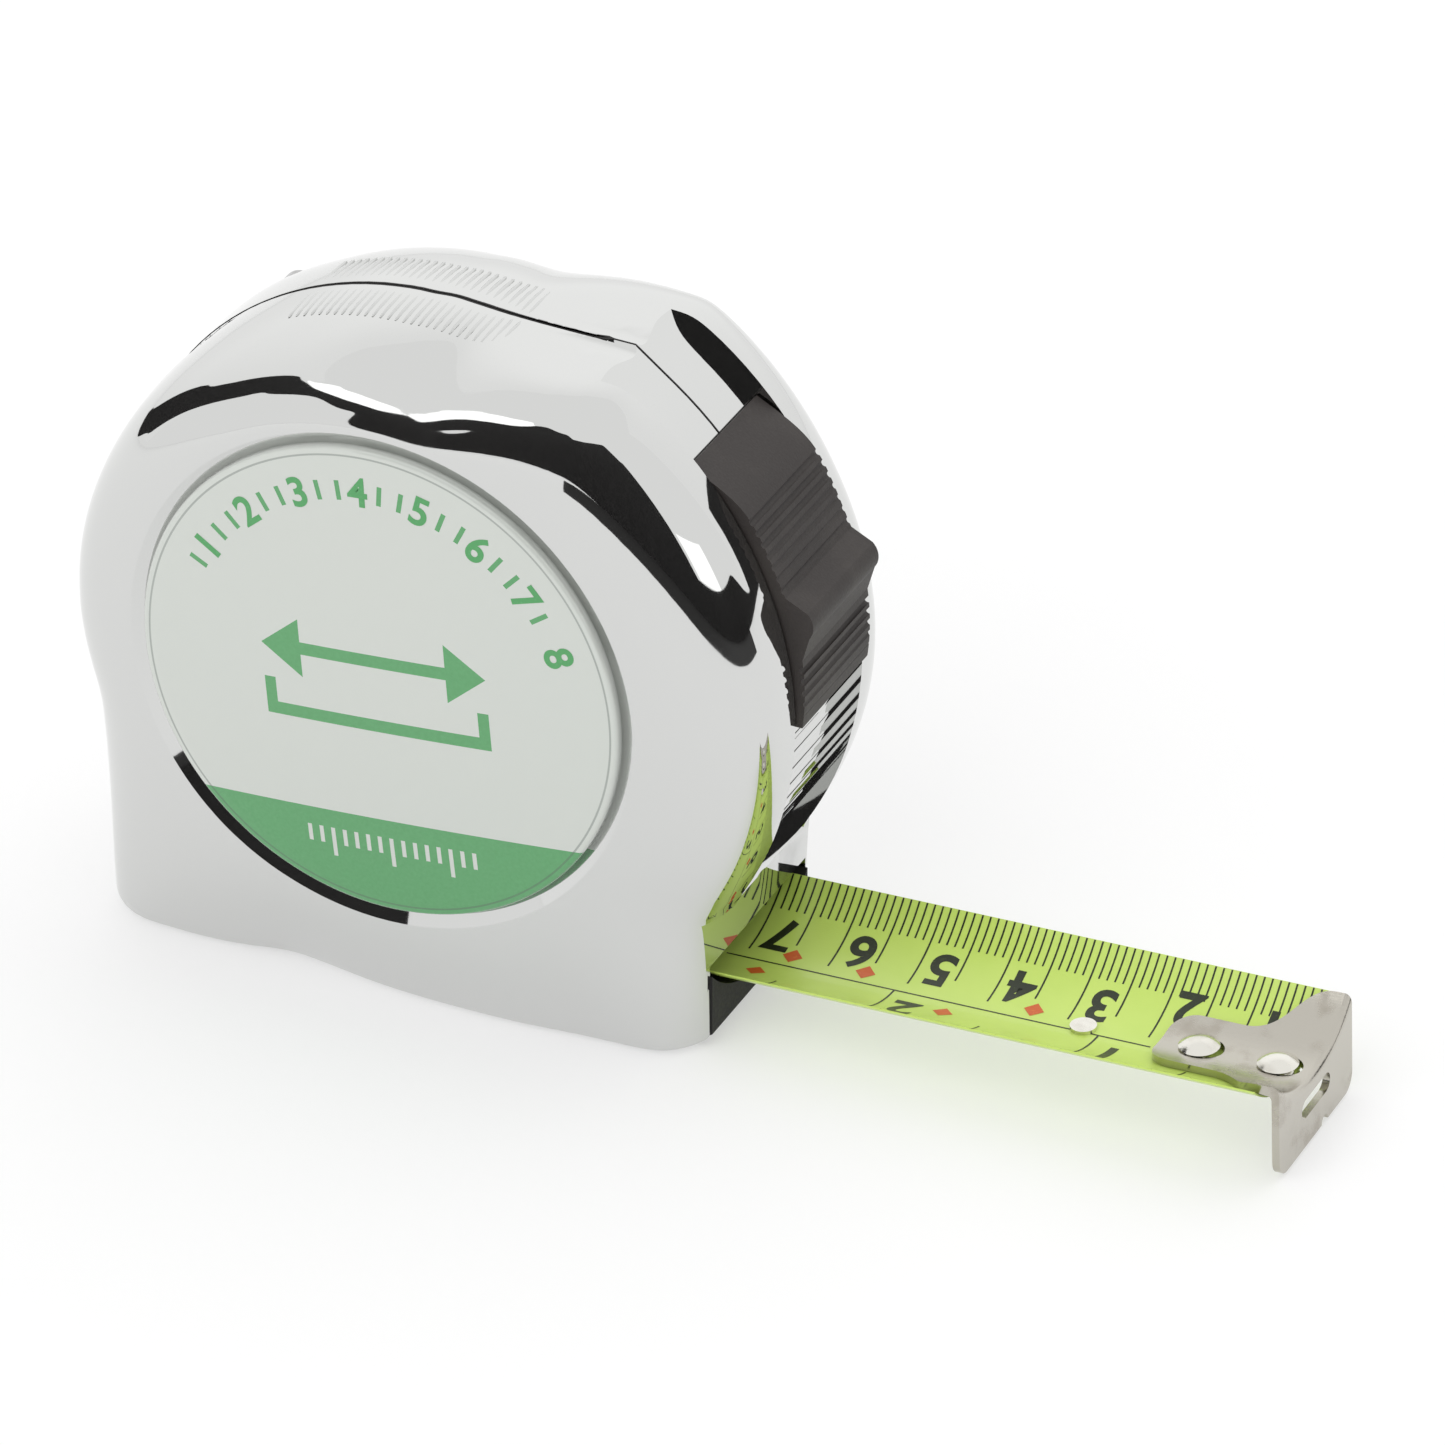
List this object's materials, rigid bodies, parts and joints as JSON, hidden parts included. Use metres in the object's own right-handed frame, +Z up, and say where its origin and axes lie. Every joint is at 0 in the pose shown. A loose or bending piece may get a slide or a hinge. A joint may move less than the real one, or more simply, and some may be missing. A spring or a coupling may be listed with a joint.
{
  "type": "tape measure",
  "caption": "Pocket tape measure: chrome-plated case, spring reel, curved steel blade with a sliding end hook, thumb lock on the nose and a belt clip.",
  "frame": {"origin": "on the flat base, straight under the reel axis, in the plane of the case's seam", "axes": "+X along the blade to the hook, +Y from the label side to the clip side, +Z up"},
  "size_m": [0.1495, 0.0468, 0.0828],
  "materials": {
    "case_chrome": "mirror chrome plate on moulded plastic",
    "label_print": "printed disc under a clear dome",
    "black_rubber": "matt moulded rubber",
    "black_plastic": "moulded",
    "lock_plastic": "matt moulded, cross ribs",
    "nylon": "moulded",
    "blade_paint": "printed lime enamel on spring steel",
    "nickel": "bright nickel plate",
    "steel": "zinc plate"
  },
  "bodies": {
    "case": {"case_near": "case_chrome", "case_far": "case_chrome", "label": "label_print", "mouth_bumper": "black_rubber", "spindle": "steel", "washer_near": "nylon", "washer_far": "nylon", "centre_screw": "steel", "belt_clip": "nickel", "clip_screw": "steel", "case_screw_1": "steel", "case_screw_2": "steel", "case_screw_3": "steel", "blade_lead": "blade_paint"},
    "reel": {"reel_drum": "black_plastic", "reel_cover": "black_plastic", "blade_coil": "blade_paint", "mainspring": "steel"},
    "blade": {"blade": "blade_paint", "hook_rivet_front": "nickel", "hook_rivet_rear": "nickel", "tip_rivet": "nickel"},
    "hook": {"end_hook": "nickel"},
    "lock": {"thumb_lock": "lock_plastic", "brake_pad": "black_rubber"}
  },
  "joints": [
    {"name": "reel_spin", "type": "hinge", "parent": "case", "child": "reel", "pos_m": [0, 0, 0.043], "axis": [0, -1, 0], "range_deg": [-133.4, 0]},
    {"name": "blade_slide", "type": "slide", "parent": "case", "child": "blade", "axis": [0.9993, 0, 0.0384], "range_m": [-0.0667, 0], "deforming": ["blade_lead"]},
    {"name": "hook_slide", "type": "slide", "parent": "blade", "child": "hook", "axis": [0.9993, 0, 0.0384], "range_m": [-0.001, 0]},
    {"name": "lock_turn", "type": "hinge", "parent": "case", "child": "lock", "pos_m": [0, 0, 0.043], "axis": [0, 1, 0], "range_deg": [-7.5, 0]}
  ],
  "couplings": [
    {"joint": "blade_slide", "follows": "reel_spin", "m_per_rad": 0.0286}
  ]
}
